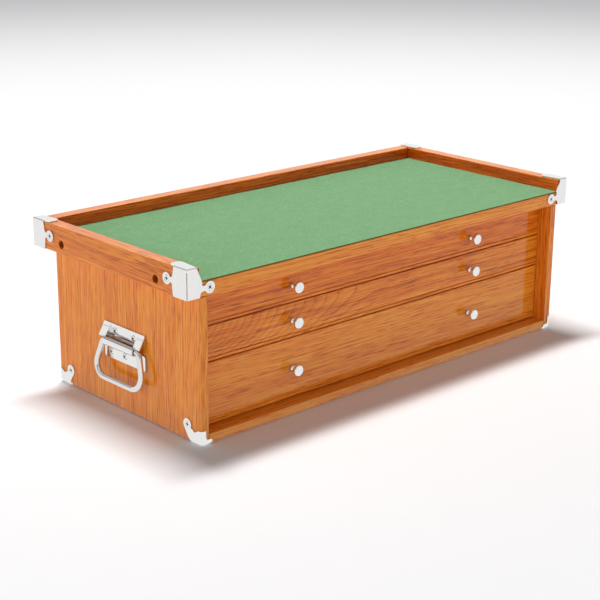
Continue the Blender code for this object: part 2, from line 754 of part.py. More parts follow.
def knob_profile():
    """Half section of a knob, from the middle of its disc down to the middle of its foot."""
    mesh = bpy.data.meshes.new("knob")
    bm = bmesh.new()
    back = KNOB_LENGTH - KNOB_DISC
    soft = KNOB_DISC / 4
    points = [
        (0, KNOB_LENGTH),
        (KNOB_RADIUS - 2 * soft, KNOB_LENGTH - KNOB_CROWN / 2),
        (KNOB_RADIUS - soft / 2, KNOB_LENGTH - KNOB_CROWN),
        (KNOB_RADIUS, KNOB_LENGTH - KNOB_CROWN - soft / 2),
        (KNOB_RADIUS, back + soft),
        (KNOB_RADIUS - soft, back),
        ((KNOB_RADIUS + KNOB_NECK_RADIUS) / 2, back - KNOB_DISC / 3),
        (KNOB_NECK_RADIUS, KNOB_NECK_SPAN[1]),
        (KNOB_NECK_RADIUS, KNOB_NECK_SPAN[0]),
        ((KNOB_NECK_RADIUS + KNOB_FOOT_RADIUS) / 2, (KNOB_NECK_SPAN[0] + KNOB_FOOT) / 2),
        (KNOB_FOOT_RADIUS, KNOB_FOOT),
        (KNOB_FOOT_RADIUS, 0),
        (0, 0),
    ]
    line = [bm.verts.new((radius, 0, height)) for radius, height in points]
    for first, second in zip(line, line[1:]):
        bm.edges.new((first, second))
    bm.to_mesh(mesh)
    bm.free()
    return mesh


def add_knob(name, drawer, x, z):
    obj = add_piece(name, knob_profile(), PLATING, drawer, (x, FACE_Y - FIT, z))
    obj.rotation_euler = (math.pi / 2, 0, 0)
    turning = obj.modifiers.new("turned", "SCREW")
    turning.axis = "Z"
    turning.steps = KNOB_STEPS
    turning.render_steps = KNOB_STEPS
    turning.use_merge_vertices = True
    turning.merge_threshold = 0.001 * MM
    turning.use_smooth_shade = True


def build_drawer(name, z, height, case):
    """One drawer, its two knobs, and the two case runners that carry it. z is the front's lower edge."""
    drawer = group(f"drawer_{name}_slide", (0, FACE_Y, z))
    front = prism("YZ", front_outline(height), -DRAWER_X, DRAWER_X)
    add_piece(f"drawer_{name}_front", front, OAK, drawer, (0, FACE_Y, z))
    side_z = z + SIDE_LIFT
    side_height = height - SIDE_LIFT - SIDE_TOP_DROP
    side_y = (BOX_Y + FIT, DRAWER_BACK_Y)
    section = prism("XZ", side_outline(side_height), 0, side_y[1] - side_y[0])
    runner_z = side_z + side_height / 2 - RUNNER_HEIGHT / 2
    for hand, side in (("left", -1), ("right", 1)):
        mesh = mirrored(section, side > 0, False)
        add_piece(f"drawer_{name}_{hand}_side", mesh, BEECH, drawer, (side * DRAWER_X, side_y[0], side_z))
        reach = sorted((side * (INNER_X - FIT), side * (INNER_X - RUNNER_PROUD)))
        board(
            f"runner_{name}_{hand}",
            (reach[0], BOX_Y + RUNNER_SETBACK, runner_z),
            (reach[1], BACK_Y - BACK_THICK - FIT, runner_z + RUNNER_HEIGHT),
            BEECH,
            case,
        )
        add_knob(f"knob_{name}_{hand}", drawer, side * KNOB_SPREAD / 2, z + height / 2)
    inner_x = DRAWER_X - DRAWER_SIDE_THICK - FIT
    panel_x = inner_x + PANEL_GROOVE
    panel_z = side_z + PANEL_LIFT + FIT
    panel_top = panel_z + PANEL_THICK
    board(
        f"drawer_{name}_bottom",
        (-panel_x, BOX_Y - PANEL_GROOVE + FIT, panel_z),
        (panel_x, DRAWER_BACK_Y, panel_top),
        BEECH,
        drawer,
        eased=False,
    )
    board(
        f"drawer_{name}_back",
        (-inner_x, DRAWER_BACK_Y - DRAWER_BACK_THICK, panel_top + FIT),
        (inner_x, DRAWER_BACK_Y, side_z + side_height),
        BEECH,
        drawer,
    )
    board(
        f"drawer_{name}_felt",
        (-inner_x, BOX_Y + FIT, panel_top + FIT),
        (inner_x, DRAWER_BACK_Y - DRAWER_BACK_THICK - FIT, panel_top + FIT + LINER_THICK),
        FELT,
        drawer,
        eased=False,
    )


def build_drawers(case):
    z = CASE_Z + BOTTOM_THICK + REVEAL
    for name, height in (("bottom", DEEP_FRONT), ("middle", SHALLOW_FRONT), ("top", SHALLOW_FRONT)):
        build_drawer(name, z, height, case)
        z += height + REVEAL


case_group = group("case")
build_case(case_group)
build_deck(case_group)
build_rim(case_group)
build_top_caps(case_group)
build_foot_caps(case_group)
build_handles(case_group)
build_drawers(case_group)
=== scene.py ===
# %% [markdown]
# # Tool chest riser
# A low oak chest that stands under a tool chest: a felt-covered deck inside a three-sided rim, three
# drawers under it, and plated caps on its corners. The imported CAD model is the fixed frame: every board
# is already the right size and in the right place, so this lesson spends its effort on what the CAD model
# leaves plain. Those are the camera, the light, the oak, the felt, and the small bright metalwork.

# %% Load the frame
import math

import bmesh
import bpy
from mathutils import Matrix, Quaternion, Vector


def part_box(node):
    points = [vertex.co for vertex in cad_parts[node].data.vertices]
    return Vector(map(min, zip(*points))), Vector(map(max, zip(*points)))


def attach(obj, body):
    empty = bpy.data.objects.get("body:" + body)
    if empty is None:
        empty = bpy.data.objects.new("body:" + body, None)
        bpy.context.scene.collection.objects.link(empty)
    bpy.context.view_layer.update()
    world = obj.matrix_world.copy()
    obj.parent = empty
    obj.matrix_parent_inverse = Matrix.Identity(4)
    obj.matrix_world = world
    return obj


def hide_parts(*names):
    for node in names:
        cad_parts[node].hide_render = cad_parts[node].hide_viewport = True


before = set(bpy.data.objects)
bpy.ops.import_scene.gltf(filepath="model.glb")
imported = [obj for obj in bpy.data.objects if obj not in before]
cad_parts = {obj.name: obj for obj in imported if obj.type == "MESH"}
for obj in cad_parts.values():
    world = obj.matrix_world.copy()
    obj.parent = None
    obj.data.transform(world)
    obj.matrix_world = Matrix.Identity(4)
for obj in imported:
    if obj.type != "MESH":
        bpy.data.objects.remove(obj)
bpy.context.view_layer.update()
MM = 0.001

# %% [markdown]
# ## The camera
# The photograph's own camera was worked out from the chest's corners: where it stood, which way it looked
# and how long its lens was. Building the rotation from an azimuth and an elevation keeps these numbers
# readable, and the small roll is the tilt of a hand-levelled tripod. The sensor is the common 36 mm one,
# and the lens follows from the focal length in pixels of a 600-pixel image.

# %% Camera
AZIMUTH = math.radians(-42.946)
ELEVATION = math.radians(17.973)
ROLL = math.radians(0.463)
CAMERA_PLACE = (-1.2427, -1.3084, 0.6544)
FOCAL_PIXELS = 1473.2
IMAGE_PIXELS = 600
SENSOR_WIDTH = 36.0

camera_data = bpy.data.cameras.new("camera")
camera_data.sensor_width = SENSOR_WIDTH
camera_data.lens = FOCAL_PIXELS * SENSOR_WIDTH / IMAGE_PIXELS
camera = bpy.data.objects.new("camera", camera_data)
bpy.context.scene.collection.objects.link(camera)
back = Vector((
    math.sin(AZIMUTH) * math.cos(ELEVATION),
    -math.cos(AZIMUTH) * math.cos(ELEVATION),
    math.sin(ELEVATION),
))
camera.location = CAMERA_PLACE
camera.rotation_mode = "QUATERNION"
camera.rotation_quaternion = (-back).to_track_quat("-Z", "Y") @ Quaternion((0, 0, 1), ROLL)
bpy.context.scene.camera = camera
bpy.context.scene.view_settings.view_transform = "Standard"
print(f"camera: {camera_data.lens:.1f} mm lens")

# %% [markdown]
# ## Small helpers for materials
# Colours are written as the sRGB hex values that a colour picker shows, and Blender's shaders want linear
# light, so one function turns the one into the other. A second function adds a node, sets it up and links
# it, and a third starts an empty material. A material then reads from top to bottom as the list of its
# nodes.

# %% Colour and node helpers
def colour(hex_value):
    """A linear RGBA colour from an sRGB value such as '#C8711D'."""
    parts = [int(hex_value[i:i + 2], 16) / 255 for i in (1, 3, 5)]
    linear = [p / 12.92 if p <= 0.04045 else ((p + 0.055) / 1.055) ** 2.4 for p in parts]
    return (*linear, 1.0)


def add(tree, kind, inputs=None, stops=(), **settings):
    """A new node with its settings, a ramp's stops, and its inputs, each a value or a socket to link."""
    node = tree.nodes.new(kind)
    for key, value in settings.items():
        setattr(node, key, value)
    for index, (position, shade) in enumerate(stops):
        ramp = node.color_ramp.elements
        stop = ramp[index] if index < len(ramp) else ramp.new(position)
        stop.position = position
        stop.color = shade
    for key, value in (inputs or {}).items():
        if isinstance(value, bpy.types.NodeSocket):
            tree.links.new(value, node.inputs[key])
        else:
            node.inputs[key].default_value = value
    return node


def new_material(name):
    """A material with an empty node tree, and that tree."""
    material = bpy.data.materials.new(name)
    material.use_nodes = True
    material.node_tree.nodes.clear()
    return material, material.node_tree


# A Mix node holds one set of sockets for each kind of data, and these are the colour ones.
FACTOR, COLOUR_A, COLOUR_B, COLOUR_OUT = 0, 6, 7, 2
print("sRGB middle grey in linear light:", round(colour("#808080")[0], 3))

# %% [markdown]
# ## Paper floor
# The chest stands on a seamless white paper sweep that falls away into grey far behind it. Close to the
# chest the paper is a lit surface that keeps the shadow. Far off it shows its own tone, white and then
# grey, by its distance from the chest, so it is the same from every side. Polished metal and varnish
# mirror this plain tone, also close by.

# %% Paper floor
FLOOR_RADIUS = 14.0
FLOOR_SIDES = 96
# Distances from the chest's middle, in metres: lit paper gives way to its own white, and that to grey
PAPER_LIT, PAPER_WHITE = 0.45, 1.2
PAPER_FADES, PAPER_GREY = 1.8, 4.5
PAPER_MOTTLE = 35 * MM

paper, tree = new_material("matt white paper sweep")
place = add(tree, "ShaderNodeTexCoord").outputs["Object"]
distance = add(tree, "ShaderNodeVectorMath", {0: place}, operation="LENGTH").outputs["Value"]
mottle = add(tree, "ShaderNodeTexNoise", {"Vector": place, "Scale": 1 / PAPER_MOTTLE, "Detail": 2.0})
sheet_white = add(tree, "ShaderNodeMix", {
    FACTOR: mottle.outputs["Fac"], COLOUR_A: colour("#FAF9F9"), COLOUR_B: colour("#FCFBFC"),
}, data_type="RGBA").outputs[COLOUR_OUT]
lit = add(tree, "ShaderNodeBsdfDiffuse", {"Color": sheet_white}).outputs["BSDF"]
away = add(tree, "ShaderNodeMapRange", {
    "Value": distance, "From Min": PAPER_FADES, "From Max": PAPER_GREY,
}, interpolation_type="SMOOTHSTEP").outputs["Result"]
tone = add(tree, "ShaderNodeMix", {
    FACTOR: away, COLOUR_A: colour("#FFFFFF"), COLOUR_B: colour("#BDBDBF"),
}, data_type="RGBA").outputs[COLOUR_OUT]
glow = add(tree, "ShaderNodeEmission", {"Color": tone, "Strength": 1.0}).outputs["Emission"]
far = add(tree, "ShaderNodeMapRange", {
    "Value": distance, "From Min": PAPER_LIT, "From Max": PAPER_WHITE,
}, interpolation_type="SMOOTHSTEP").outputs["Result"]
rays = add(tree, "ShaderNodeLightPath").outputs
mirrored = add(tree, "ShaderNodeMath", {0: rays["Is Glossy Ray"], 1: rays["Is Transmission Ray"]},
               operation="MAXIMUM").outputs["Value"]
share = add(tree, "ShaderNodeMath", {0: far, 1: rays["Is Camera Ray"], 2: mirrored},
            operation="MULTIPLY_ADD", use_clamp=True).outputs["Value"]
sweep = add(tree, "ShaderNodeMixShader", {0: share, 1: lit, 2: glow}).outputs["Shader"]
add(tree, "ShaderNodeOutputMaterial", {"Surface": sweep})

bm = bmesh.new()
bmesh.ops.create_circle(bm, cap_ends=True, segments=FLOOR_SIDES, radius=FLOOR_RADIUS)
floor_mesh = bpy.data.meshes.new("floor")
bm.to_mesh(floor_mesh)
bm.free()
floor_mesh.materials.append(paper)
floor = bpy.data.objects.new("floor", floor_mesh)
bpy.context.scene.collection.objects.link(floor)
print("floor:", FLOOR_RADIUS, "m in radius")

# %% [markdown]
# ## Light
# A soft lamp hangs high up behind the chest and a little to the right. The rest of the light comes from
# the white walls of the room, which are bright low down and dark overhead. That lights the upright faces
# well and still leaves a real shadow at their feet. Polished metal and varnish mirror white walls, a pale
# ceiling and a dark cornice between them, which draws the thin dark lines in the plating. Nothing of that
# reaches the chest as extra light, so a colour renders about as it is written. The wall on the left is a
# little brighter than the others, as by a window, which sets the chest's end off from its front.

# %% Room and lamp
WALL_LIGHT = 1.06
WINDOW_LIGHT = 0.44
LAMP_POWER = 105.0
LAMP_SIZE = (1.2, 0.4)
LAMP_PLACE = (0.28, 0.84, 3.3)

world = bpy.data.worlds.new("white studio")
world.use_nodes = True
tree = world.node_tree
tree.nodes.clear()
way = add(tree, "ShaderNodeTexCoord").outputs["Generated"]
split = add(tree, "ShaderNodeSeparateXYZ", {0: way}).outputs
lighting = add(tree, "ShaderNodeValToRGB", {"Fac": split["Z"]}, stops=(
    (0.0, colour("#FFFFFF")), (0.34, colour("#FFFFFF")), (0.55, colour("#484849")),
)).outputs["Color"]
looks = add(tree, "ShaderNodeValToRGB", {"Fac": split["Z"]}, stops=(
    (0.0, colour("#FFFFFF")), (0.35, colour("#FFFFFF")), (0.39, colour("#626264")),
    (0.44, colour("#767678")), (0.5, colour("#A6A6A8")), (0.72, colour("#DADADC")),
)).outputs["Color"]
rays = add(tree, "ShaderNodeLightPath").outputs
seen = rays["Is Camera Ray"]
for ray in ("Is Glossy Ray", "Is Transmission Ray"):
    seen = add(tree, "ShaderNodeMath", {0: seen, 1: rays[ray]}, operation="MAXIMUM").outputs["Value"]
window = add(tree, "ShaderNodeMath", {0: split["X"], 1: -WINDOW_LIGHT, 2: WALL_LIGHT},
             operation="MULTIPLY_ADD").outputs["Value"]
strength = add(tree, "ShaderNodeMapRange", {
    "Value": seen, "To Min": window, "To Max": 1.0,
}).outputs["Result"]
walls = add(tree, "ShaderNodeMix", {
    FACTOR: seen, COLOUR_A: lighting, COLOUR_B: looks,
}, data_type="RGBA").outputs[COLOUR_OUT]
room = add(tree, "ShaderNodeBackground", {"Color": walls, "Strength": strength})
add(tree, "ShaderNodeOutputWorld", {"Surface": room.outputs["Background"]})
bpy.context.scene.world = world

lamp_data = bpy.data.lights.new("soft lamp", "AREA")
lamp_data.shape = "RECTANGLE"
lamp_data.size, lamp_data.size_y = LAMP_SIZE
lamp_data.energy = LAMP_POWER
lamp = bpy.data.objects.new("soft lamp", lamp_data)
lamp.location = LAMP_PLACE
lamp.rotation_mode = "QUATERNION"
lamp.rotation_quaternion = (-Vector(LAMP_PLACE)).to_track_quat("-Z", "Y")
bpy.context.scene.collection.objects.link(lamp)
print("lamp:", LAMP_POWER, "W over", LAMP_SIZE, "m")

# %% [markdown]
# ## Oak: the fibres
# The boards are red oak. Along the grain the eye sees fine streaks, the short dark dashes of open pores,
# and a slow drift of tone across a board. These are the same thing at different sizes: noise that is
# stretched along the fibres. One function draws them all from their real sizes, and a coarser one of the
# same kind bends them a little, because no tree grows dead straight. The dashes of real pores are about
# 0.3 mm wide, which is finer than a pixel here, so they are drawn at 1.3 mm.

# %% Fibres
# Sizes twice across and once along the fibres
PORE_SIZE = (1.3 * MM, 1.3 * MM, 24 * MM)
STREAK_SIZE = (1.1 * MM, 1.1 * MM, 110 * MM)
WANDER_SIZE = (45 * MM, 45 * MM, 220 * MM)
DRIFT_SIZE = (16 * MM, 16 * MM, 420 * MM)


def fibrous(tree, vector, size, detail):
    """Noise whose grains have this size across and along the fibres."""
    scaled = add(tree, "ShaderNodeVectorMath", {0: vector, 1: [1 / length for length in size]},
                 operation="MULTIPLY").outputs["Vector"]
    return add(tree, "ShaderNodeTexNoise", {"Vector": scaled, "Scale": 1.0, "Detail": detail}).outputs


print("oak pores in mm:", [round(length / MM, 1) for length in PORE_SIZE])

# %% [markdown]
# ## Oak: the growth rings
# Wood is a solid pattern, so its rings are drawn as one: each board gets a place and a direction for the
# tree's pith, and the rings are cylinders round it. Where a board's face cuts them it shows straight lines
# or cathedral arches by itself, and the end grain comes free. A year starts with a dark line of open pores
# and fades into plain late wood, which is a saw-toothed wave through a ramp.

# %% Growth rings
# The scale at which Blender's wave texture draws rings that are 1 m wide
METRE_RINGS = math.pi / 10


def growth_rings(tree, fibre, shift, ring, dive):
    """The darkness of rings of this width round the pith, which lies at X = Y = 0 of the fibre vector.

    shift bends the rings as it bends the fibres. dive is how far the pith sinks behind the face, and the
    stretch of the board's length, from its middle, over which it does, or None.
    """
    if dive:
        depth, start, end = dive
        along = add(tree, "ShaderNodeSeparateXYZ", {0: fibre}).outputs["Z"]
        sunk = add(tree, "ShaderNodeMapRange", {
            "Value": along, "From Min": start, "From Max": end, "To Min": 0.0, "To Max": -depth,
        }, interpolation_type="SMOOTHSTEP").outputs["Result"]
        sinking = add(tree, "ShaderNodeCombineXYZ", {"Y": sunk}).outputs["Vector"]
        fibre = add(tree, "ShaderNodeVectorMath", {0: fibre, 1: sinking}, operation="ADD").outputs["Vector"]
    bent = add(tree, "ShaderNodeVectorMath", {0: fibre, 1: shift}, operation="ADD").outputs["Vector"]
    year = add(tree, "ShaderNodeTexWave", {
        "Vector": bent, "Scale": METRE_RINGS / ring, "Distortion": 0.0,
    }, wave_type="RINGS", rings_direction="Z", wave_profile="SAW").outputs["Fac"]
    darkness = [(position, (v, v, v, 1)) for position, v in ((0, 1), (0.12, 0.3), (0.4, 0.08), (0.97, 0))]
    return add(tree, "ShaderNodeValToRGB", {"Fac": year}, stops=darkness).outputs["Color"]


print(f"rings of 5 mm: wave scale {METRE_RINGS / (5 * MM):.1f}")

# %% [markdown]
# ## Oak: the varnished board
# All of these add up to one darkness, and one ramp turns it into the colour of wood under an amber
# varnish. The ends drink more varnish and are darker. The inner faces of the rim are painted darker and
# redder, which is painted shade for the shade inside the tray. The varnish is a clear glossy coat, and
# the wood under it has no gloss of its own.

# %% Oak material
OAK_STOPS = ((0.3, "#F6A63C"), (0.52, "#E88920"), (0.66, "#D77013"), (0.82, "#BF5B08"), (1, "#944204"))
# The inner tint, and the inner weight of darkness below, are painted shade on the inner faces of the rim
OAK_BLUSH, INNER_SHADE_TINT = "#F6C8B2", "#FFD2BC"
BLUSH_SHARE = 0.4
# Where a pattern starts to show, and where it shows in full
PORE_RANGE, BLUSH_RANGE, FACING_RANGE = (0.55, 0.66), (0.45, 0.75), (0.6, 0.95)
# What each pattern adds to the darkness, and where the darkness starts
STREAKS, DRIFT, PORES, END_GRAIN, INNER_SHADE = 0.96, 0.24, 0.22, 0.3, 0.14
FIRST_TONE = -0.12
WANDER = 6 * MM
PORE_DEPTH = 0.12 * MM
GRAIN_TURNS = {"X": (0, 90, 0), "Y": (-90, 0, 0), "Z": (0, 0, 0)}
GRAIN_AXES = {"X": Vector((1, 0, 0)), "Y": Vector((0, 1, 0)), "Z": Vector((0, 0, 1))}


def facing(tree, way):
    """1 on the faces that look this way, and 0 on the others."""
    normal = add(tree, "ShaderNodeNewGeometry").outputs["True Normal"]
    turned = add(tree, "ShaderNodeVectorMath", {0: normal, 1: way}, operation="DOT_PRODUCT")
    return add(tree, "ShaderNodeMapRange", {
        "Value": turned.outputs["Value"], "From Min": FACING_RANGE[0], "From Max": FACING_RANGE[1],
    }).outputs["Result"]


def oak_board(name, grain, pith, lean, ring, contrast, tone, dive, inner=None):
    """Varnished oak for one board.

    grain is the axis that the fibres follow, pith a point of the tree's centre line, and lean the angles
    in degrees that this line is turned by. ring is the width of a year's growth, contrast how strongly the
    rings show, and tone makes the whole board darker. dive is that of growth_rings, and inner is the way
    that the faces with painted shade look, or None.
    """
    material, tree = new_material("varnished oak " + name)
    turn = [math.radians(a + b) for a, b in zip(GRAIN_TURNS[grain], lean)]
    place = add(tree, "ShaderNodeTexCoord").outputs["Object"]
    # Z runs along the fibres from here on, with the pith at X = Y = 0.
    fibre = add(tree, "ShaderNodeMapping", {"Vector": place, "Location": pith, "Rotation": turn},
                vector_type="TEXTURE").outputs["Vector"]
    shift = fibrous(tree, fibre, WANDER_SIZE, 2.0)["Color"]
    shift = add(tree, "ShaderNodeVectorMath", {0: shift, 1: (0.5, 0.5, 0.5)}, operation="SUBTRACT")
    shift = add(tree, "ShaderNodeVectorMath", {0: shift.outputs["Vector"], "Scale": WANDER},
                operation="SCALE").outputs["Vector"]
    bent = add(tree, "ShaderNodeVectorMath", {0: fibre, 1: shift}, operation="ADD").outputs["Vector"]

    streaks = fibrous(tree, bent, STREAK_SIZE, 2.0)["Fac"]
    pores = fibrous(tree, bent, PORE_SIZE, 1.0)["Fac"]
    drift = fibrous(tree, fibre, DRIFT_SIZE, 2.0)
    dashes = add(tree, "ShaderNodeMapRange", {
        "Value": pores, "From Min": PORE_RANGE[0], "From Max": PORE_RANGE[1],
    }).outputs["Result"]
    rings = growth_rings(tree, fibre, shift, ring, dive)
    patterns = [(streaks, STREAKS), (drift["Fac"], DRIFT), (dashes, PORES), (rings, contrast)]
    patterns += [(facing(tree, way), END_GRAIN) for way in (GRAIN_AXES[grain], -GRAIN_AXES[grain])]
    # Painted shade: the rim's inner faces are drawn darker
    if inner:
        patterns.append((facing(tree, inner), INNER_SHADE))
    dark = tone + FIRST_TONE
    for pattern, weight in patterns:
        dark = add(tree, "ShaderNodeMath", {0: pattern, 1: weight, 2: dark},
                   operation="MULTIPLY_ADD").outputs["Value"]

    shade = add(tree, "ShaderNodeValToRGB", {"Fac": dark},
                stops=[(at, colour(value)) for at, value in OAK_STOPS]).outputs["Color"]
    blush = add(tree, "ShaderNodeSeparateColor", {0: drift["Color"]}).outputs["Green"]
    blush = add(tree, "ShaderNodeMapRange", {
        "Value": blush, "From Min": BLUSH_RANGE[0], "From Max": BLUSH_RANGE[1], "To Max": BLUSH_SHARE,
    }).outputs["Result"]
    # Painted shade: the rim's inner faces are tinted darker and redder
    tints = [(facing(tree, inner), INNER_SHADE_TINT)] if inner else []
    for share, tint in [*tints, (blush, OAK_BLUSH)]:
        shade = add(tree, "ShaderNodeMix", {FACTOR: share, COLOUR_A: shade, COLOUR_B: colour(tint)},
                    data_type="RGBA", blend_type="MULTIPLY").outputs[COLOUR_OUT]
    relief = add(tree, "ShaderNodeBump", {"Height": dashes, "Strength": 0.4, "Distance": PORE_DEPTH},
                 invert=True).outputs["Normal"]
    rough = add(tree, "ShaderNodeMapRange", {"Value": pores, "To Min": 0.4, "To Max": 0.6})
    wood = add(tree, "ShaderNodeBsdfPrincipled", {
        "Base Color": shade, "Roughness": rough.outputs["Result"], "Normal": relief,
        "Specular IOR Level": 0.0, "Coat Weight": 0.8, "Coat Roughness": 0.09, "Coat IOR": 1.5,
    })
    add(tree, "ShaderNodeOutputMaterial", {"Surface": wood.outputs["BSDF"]})
    return material


print("oak tones:", [value for at, value in OAK_STOPS])

# %% [markdown]
# ## A board for each place
# No two boards come from the same part of the tree. The end panels are rift-sawn, so the pith lies far off
# to the side and their grain is fine and straight. The middle drawer is flat-sawn near the heart, so its
# pith runs close behind the face at the left and dives away to the right, which draws the row of arches
# there.

# %% Oak boards
# Grain axis, pith from the board's middle in mm, lean of the pith in degrees, ring width in mm, contrast,
# tone, and for one board the dive of its pith: depth, start and end in mm. The tones are partly painted
# light: the top drawer front is darker as painted shade under the rail, and the case bottom and the bottom
# drawer front are lighter as painted light against the floor's shadow.
BOARDS = {
    "case_left_side": ("Z", (150, 240, 0), (1.0, 0.0, 0.0), 7.0, 0.12, 0.0, None),
    "case_right_side": ("Z", (-140, 210, 0), (-1.2, 0.2, 0.0), 7.0, 0.12, 0.0, None),
    # The lighter tone of the case bottom is painted light on its ledge, which lies in shadow
    "case_bottom": ("X", (0, 90, 160), (0.0, 0.3, 0.3), 5.0, 0.14, -0.12, None),
    "case_back": ("X", (0, 120, 30), (0.0, 0.8, 0.3), 6.0, 0.2, 0.02, None),
    "deck_board": ("X", (0, 60, 120), (0.0, 0.5, 1.0), 6.0, 0.2, 0.05, None),
    "front_rail": ("X", (60, 120, 90), (0.0, 0.7, 0.3), 5.0, 0.2, -0.07, None),
    "rim_left": ("Y", (46, 0, 14), (1.8, 0.0, 0.5), 5.0, 0.16, 0.06, None),
    "rim_right": ("Y", (-60, 0, 30), (-1.4, 0.0, 0.5), 5.0, 0.14, 0.05, None),
    "rim_back": ("X", (0, 70, 40), (0.0, 0.5, 0.3), 5.0, 0.2, 0.05, None),
    # The darker top front is painted shade under the rail, and the lighter bottom front is painted light
    "drawer_top_front": ("X", (40, 120, 90), (0.0, 0.7, 0.3), 6.0, 0.14, 0.12, None),
    "drawer_middle_front": ("X", (0, -48, 24), (0.0, 0.0, 0.0), 3.5, 0.34, 0.04, (130, -580, -10)),
    "drawer_bottom_front": ("X", (120, 130, -30), (0.0, 0.9, 0.4), 7.0, 0.08, -0.02, None),
}
# The way that the inner faces of the rim look, which get painted shade
INNER_FACES = {"rim_left": (1, 0, 0), "rim_right": (-1, 0, 0), "rim_back": (0, -1, 0)}


def dress(node, material):
    """Gives a CAD node its finish."""
    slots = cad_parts[node].data.materials
    slots.clear()
    slots.append(material)


for node, (grain, pith, lean, ring, contrast, tone, dive) in BOARDS.items():
    low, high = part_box(node)
    pith_place = (low + high) / 2 + Vector(pith) * MM
    deep = [length * MM for length in dive] if dive else None
    wood = oak_board(node.replace("_", " "), grain, pith_place, lean, ring * MM, contrast, tone, deep,
                     INNER_FACES.get(node))
    dress(node, wood)
print("oak boards:", len(BOARDS))

# %% [markdown]
# ## Plain drawer wood
# Drawer sides, backs and bottoms and the runners that carry them are plain pale hardwood, sanded and left
# with a thin dull seal. Its grain is close and quiet, so one material with fine streaks along each piece
# is enough. The streaks run front to back on the sides and runners, and left to right on the backs and
# bottoms.

# %% Drawer wood
MAPLE_STREAK, MAPLE_LENGTH, MAPLE_DEPTH = 4 * MM, 70 * MM, 0.1 * MM
DRAWERS = ("top", "middle", "bottom")
SIDES = {"left": -1, "right": 1}


def drawer_maple(name, along):
    """Sanded pale hardwood whose streaks run along one axis."""
    material, tree = new_material("sanded hardwood " + name)
    place = add(tree, "ShaderNodeTexCoord").outputs["Object"]
    stretch = [MAPLE_STREAK / MAPLE_LENGTH if axis == along else 1.0 for axis in "XYZ"]
    drawn = add(tree, "ShaderNodeVectorMath", {0: place, 1: stretch}, operation="MULTIPLY")
    streaks = add(tree, "ShaderNodeTexNoise", {
        "Vector": drawn.outputs["Vector"], "Scale": 1 / MAPLE_STREAK, "Detail": 4.0, "Distortion": 0.4,
    }).outputs["Fac"]
    shade = add(tree, "ShaderNodeValToRGB", {"Fac": streaks}, stops=(
        (0.3, colour("#B98B55")), (0.55, colour("#CFA46C")), (0.75, colour("#DDB682")),
    )).outputs["Color"]
    relief = add(tree, "ShaderNodeBump", {
        "Height": streaks, "Strength": 0.25, "Distance": MAPLE_DEPTH,
    }).outputs["Normal"]
    rough = add(tree, "ShaderNodeMapRange", {"Value": streaks, "To Min": 0.45, "To Max": 0.62})
    wood = add(tree, "ShaderNodeBsdfPrincipled", {
        "Base Color": shade, "Roughness": rough.outputs["Result"], "Normal": relief, "IOR": 1.5,
    })
    add(tree, "ShaderNodeOutputMaterial", {"Surface": wood.outputs["BSDF"]})
    return material


long_wood = drawer_maple("along the sides", "Y")
cross_wood = drawer_maple("along the backs", "X")
lengthways = [f"drawer_{d}_{hand}_side" for d in DRAWERS for hand in SIDES]
lengthways += [f"runner_{d}_{hand}" for d in DRAWERS for hand in SIDES]
crossways = [f"drawer_{d}_{part}" for d in DRAWERS for part in ("back", "bottom")]
for names, wood in ((lengthways, long_wood), (crossways, cross_wood)):
    for node in names:
        dress(node, wood)
print("drawer and runner boards:", len(lengthways) + len(crossways))

# %% [markdown]
# ## Green felt
# Pressed wool felt has no weave: it is a mat of short fibres lying every way. Seen close it is a fine
# mottle with a soft nap that lightens at a low angle, so the material has two sizes of mottle, a fuzzy
# bump and some sheen. The fibres are about 0.03 mm thick and are drawn here as clumps of about 1.6 mm,
# with pale specks where their ends stand up. The cut edges are painted a dark olive brown, which is
# painted shade for the thin dark gap where the felt meets the wood.

# %% Felt material
CLUMP, CLOUD, SPECK, NAP_HEIGHT = 1.6 * MM, 14 * MM, 1.9 * MM, 0.4 * MM
CLOUD_SHARE, SPECK_SHARE = 0.15, 0.7
# Where the specks, and the level face in place of the cut edge, start to show and show in full
SPECK_RANGE, LEVEL_RANGE = (0.64, 0.74), (0.3, 0.8)

felt, tree = new_material("pressed green wool felt")
place = add(tree, "ShaderNodeTexCoord").outputs["Object"]
clumps = add(tree, "ShaderNodeTexNoise", {
    "Vector": place, "Scale": 1 / CLUMP, "Detail": 4.0, "Roughness": 0.7, "Distortion": 1.2,
}).outputs["Fac"]
clouds = add(tree, "ShaderNodeTexNoise", {"Vector": place, "Scale": 1 / CLOUD, "Detail": 2.0})
mixed = add(tree, "ShaderNodeMath", {0: clouds.outputs["Fac"], 1: CLOUD_SHARE, 2: clumps},
            operation="MULTIPLY_ADD").outputs["Value"]
nap = add(tree, "ShaderNodeValToRGB", {"Fac": mixed}, stops=(
    (0.33, colour("#568755")), (0.56, colour("#6C9B6A")), (0.79, colour("#87B183")),
)).outputs["Color"]
specks = add(tree, "ShaderNodeTexNoise", {"Vector": place, "Scale": 1 / SPECK, "Detail": 1.0})
specks = add(tree, "ShaderNodeMapRange", {
    "Value": specks.outputs["Fac"], "From Min": SPECK_RANGE[0], "From Max": SPECK_RANGE[1],
    "To Max": SPECK_SHARE,
}).outputs["Result"]
nap = add(tree, "ShaderNodeMix", {
    FACTOR: specks, COLOUR_A: nap, COLOUR_B: colour("#9FC398"),
}, data_type="RGBA").outputs[COLOUR_OUT]
normal = add(tree, "ShaderNodeNewGeometry").outputs["True Normal"]
level = add(tree, "ShaderNodeSeparateXYZ", {0: normal}).outputs["Z"]
level = add(tree, "ShaderNodeMapRange", {
    "Value": level, "From Min": LEVEL_RANGE[0], "From Max": LEVEL_RANGE[1],
}).outputs["Result"]
